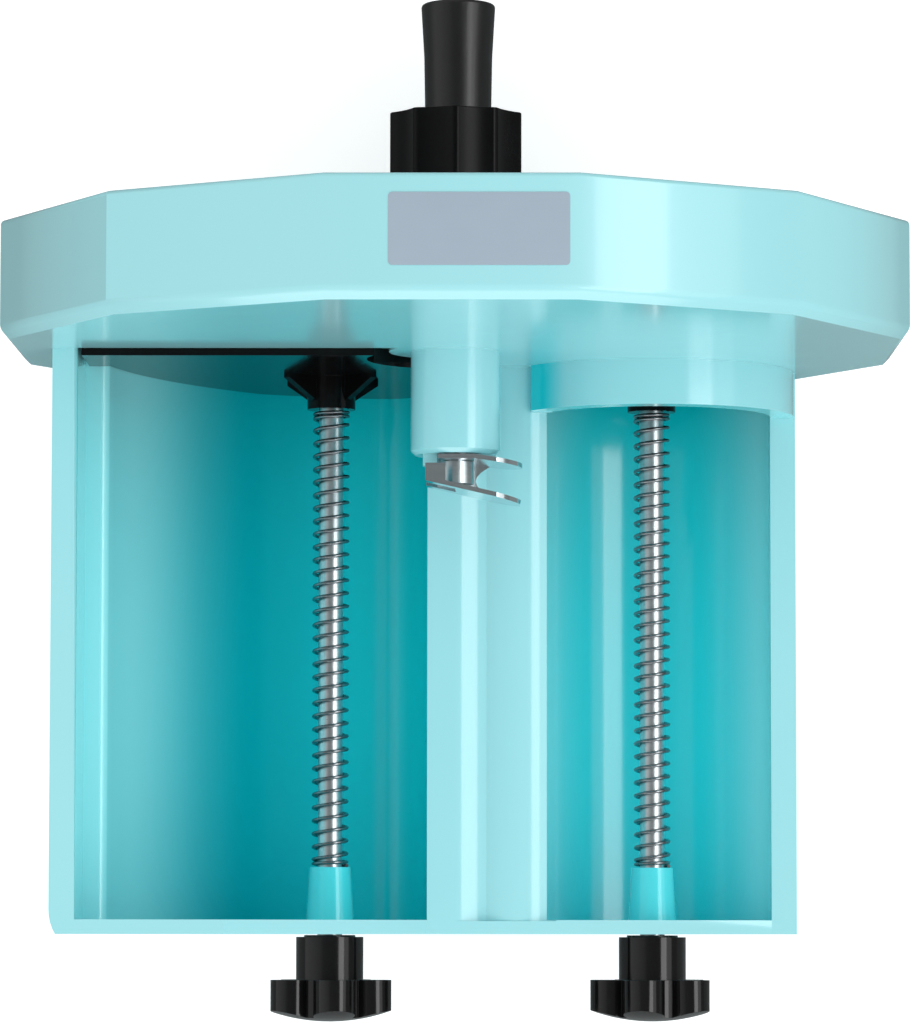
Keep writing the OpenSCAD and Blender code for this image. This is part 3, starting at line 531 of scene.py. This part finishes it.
def blank_label():
    """Bare film plate on the tray's upper facet."""
    left, right = -15.8 * MM, 29.2 * MM
    rear, front = 83.3 * MM, 101.5 * MM
    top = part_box("blade_housing")[1].z
    bpy.ops.object.select_all(action="DESELECT")
    bpy.ops.mesh.primitive_cube_add(size=1, location=((left + right) / 2, (rear + front) / 2, top),
                                    scale=(right - left, front - rear, 0.3 * MM))
    piece = bpy.context.view_layer.objects.active
    bpy.ops.object.transform_apply(location=True, rotation=True, scale=True)
    bpy.ops.object.mode_set(mode="EDIT")
    mesh = bmesh.from_edit_mesh(piece.data)
    for edge in mesh.edges:
        way = (edge.verts[0].co - edge.verts[1].co).normalized()
        edge.select = abs(way.z) > 0.9
    bmesh.update_edit_mesh(piece.data)
    bpy.ops.mesh.select_mode(type="EDGE")
    bpy.ops.mesh.bevel(offset=1.0 * MM, segments=5, affect="EDGES")
    bpy.ops.mesh.select_all(action="DESELECT")
    mesh = bmesh.from_edit_mesh(piece.data)
    for face in mesh.faces:
        face.select = face.normal.z > 0.9
    bmesh.update_edit_mesh(piece.data)
    bpy.ops.mesh.inset(thickness=0.5 * MM, depth=0.05 * MM)
    bpy.ops.object.mode_set(mode="OBJECT")
    bpy.ops.object.shade_smooth_by_angle(angle=math.radians(30))
    dress(piece, "blank_label", "frame", label_film(), None)


# Pieces that stand for the solids with rounded edges

tray = solid_copy("blade_housing")
soften(tray, tray_rim, 1.3 * MM)
round_edges(tray, 0.7 * MM)
dress(tray, "tray_shell", "frame", turquoise, "turquoise_plastic", "blade_housing")
troughs = solid_copy("feed_chute")
valley_cut(troughs)
soften(troughs, along(LEDGE_EDGE, LEDGE), 2.2 * MM)
soften(troughs, along(WIDE_LEFT, LIP), 1.6 * MM)
round_edges(troughs, 0.7 * MM)
# Masks for the painted shade of the troughs' turquoise.
mark_shaded_faces(troughs)
dress(troughs, "trough_moulding", "frame", painted_shade_turquoise, "turquoise_plastic", "feed_chute")
rounded("shaft", "cutter_shaft", "cutter", bright_rod, "turned_steel", 0.6 * MM)
rounded("shaft_clip", "fork_clip", "clip", clip_sheet, "stainless_clip", 0.25 * MM, 2)
rounded("cutter_wheel", "blade_wheel", "cutter", wheel_plastic, "wheel_plastic", 0.5 * MM, 2)
rounded("thickness_plate", "slice_plate", "slice_stop", turquoise, "turquoise_plastic", 0.6 * MM)
rounded("crank_bar", "bridge_bar", "cutter", turquoise, "turquoise_plastic", 1.0 * MM)
rounded("adjust_knob", "fluted_knob", "adjuster", knob_black, "black_plastic", 0.6 * MM, 4)
rounded("crank_grip", "turning_grip", "grip", grip_black, "black_plastic", 0.5 * MM, 4, 20)
rounded("grip_spindle", "spindle_screw", "cutter", black_oxide, "black_steel", 0.6 * MM)
for side in ("large", "small"):
    body = side + "_pusher"
    rounded(body + "_plate", side + "_pusher_foot", body, foot_black, "black_plastic", 0.9 * MM)
    rounded(body + "_knob", side + "_star_knob", body, black, "black_plastic", 0.8 * MM, 4)
    rounded(body + "_rod", side + "_guide_rod", body, bright_rod, "turned_steel", 0.4 * MM, 2)
    coil_spring(side + "_coil_spring", body + "_spring")

cross_recess("bar_screws", "crank_bar_screws", "cutter", 1, 2.4)
cross_recess("blade_screws", "blade_fixings", "cutter", -1, 1.9)
cross_recess("housing_screws", "tray_fixings", "frame", 1, 2.4)
for node in ("knob_washer", "knob_screw"):
    repaint(node, plated_screw)
for node in ("blade_a", "blade_b"):
    repaint(node, ground_blade)
for node in ("stand_inserts", "knob_nut"):
    repaint(node, turned_brass)
for node in ("front_bush", "rear_bush"):
    repaint(node, bush_plastic)
repaint("drive_pin", bright_rod)
blank_label()


# Studio

def studio_floor():
    """White floor that keeps a soft shadow; mirrored, it is grey."""
    f = Finish("studio_floor")
    seen = f.add("ShaderNodeLightPath", output="Is Camera Ray")
    mirrored = f.add("ShaderNodeLightPath", output="Is Glossy Ray")
    paper = f.add("ShaderNodeBsdfDiffuse", None, {"Color": rgb(0.86, 0.86, 0.86)})
    grey = f.add("ShaderNodeBsdfDiffuse", None, {"Color": rgb(0.25, 0.26, 0.26)})
    glow = f.add("ShaderNodeEmission", None, {"Color": rgb(1, 1, 1), "Strength": 0.45})
    lit = f.add("ShaderNodeAddShader", None, {0: paper, 1: glow})
    surface = f.add("ShaderNodeMixShader", None, {0: seen, 1: paper, 2: lit})
    surface = f.add("ShaderNodeMixShader", None, {0: mirrored, 1: surface, 2: grey})
    f.add("ShaderNodeOutputMaterial", None, {"Surface": surface})
    return f.material


bpy.ops.object.select_all(action="DESELECT")
bpy.ops.mesh.primitive_plane_add(size=8, location=(0, 0, 0))
floor = bpy.context.view_layer.objects.active
floor.name = "studio_floor"
floor.data.materials.append(studio_floor())

world = bpy.data.worlds.new("studio_world")
scene.world = world
world.use_nodes = True


def studio_sky(tree):
    """White tent, brighter on the right and on the feed side; mirrored, it is darker overhead."""
    f = Shader(tree)
    way = f.add("ShaderNodeTexCoord", output="Generated")
    x, y, z = (f.add("ShaderNodeSeparateXYZ", None, {0: way}, output=axis) for axis in "XYZ")
    glossy = f.add("ShaderNodeLightPath", output="Is Glossy Ray")
    soft = f.greys(z, [(0.0, 0.46), (0.5, 0.75), (1.0, 1.13)])
    mirrored = f.greys(z, [(0.0, 0.5), (0.2, 0.5), (0.6, 0.45), (0.86, 0.36), (0.95, 0.2)])
    lit = x * 0.38 + 1.0 + (y * -1.05).at_least(0.0)
    shown = x * -0.6 + 1.0
    level = lit + glossy * (shown - lit)
    surface = f.add("ShaderNodeBackground", None,
                    {"Color": f.blend(glossy, soft, mirrored), "Strength": level})
    f.add("ShaderNodeOutputWorld", None, {"Surface": surface})


studio_sky(world.node_tree)


def softbox(name, tilt, toward, width, height, glow):
    """Panel one metre from the head, seen in its gloss only, tilted from overhead toward a compass angle."""
    lamp = bpy.data.lights.new(name, "AREA")
    lamp.shape = "RECTANGLE"
    lamp.size = width
    lamp.size_y = height
    lamp.energy = glow * math.pi * width * height
    holder = bpy.data.objects.new(name, lamp)
    scene.collection.objects.link(holder)
    tilt, toward = math.radians(tilt), math.radians(toward)
    out = Vector((math.sin(tilt) * math.cos(toward), math.sin(tilt) * math.sin(toward), math.cos(tilt)))
    holder.location = HEAD_MIDDLE + out
    holder.rotation_euler = (-out).to_track_quat("-Z", "Y").to_euler()
    holder.visible_camera = False
    holder.visible_diffuse = False


softbox("right_panel", 60, 0, 1.4, 0.4, 1.0)
softbox("right_strip", 42, 0, 1.4, 0.34, 3.6)
softbox("rear_panel", 76, -90, 1.6, 0.8, 1.6)

# Camera fitted to the photograph, image 913 by 1024
lens = bpy.data.cameras.new("photo_camera")
lens.lens = 181.2
lens.sensor_width = 36
camera = bpy.data.objects.new("photo_camera", lens)
scene.collection.objects.link(camera)
camera.rotation_mode = "ZYX"
camera.location = (0.0110, -0.0789, 1.5029)
camera.rotation_euler = [math.radians(angle) for angle in (4.574, 0.4427, 0.0347)]
scene.camera = camera

scene.view_settings.view_transform = "Standard"
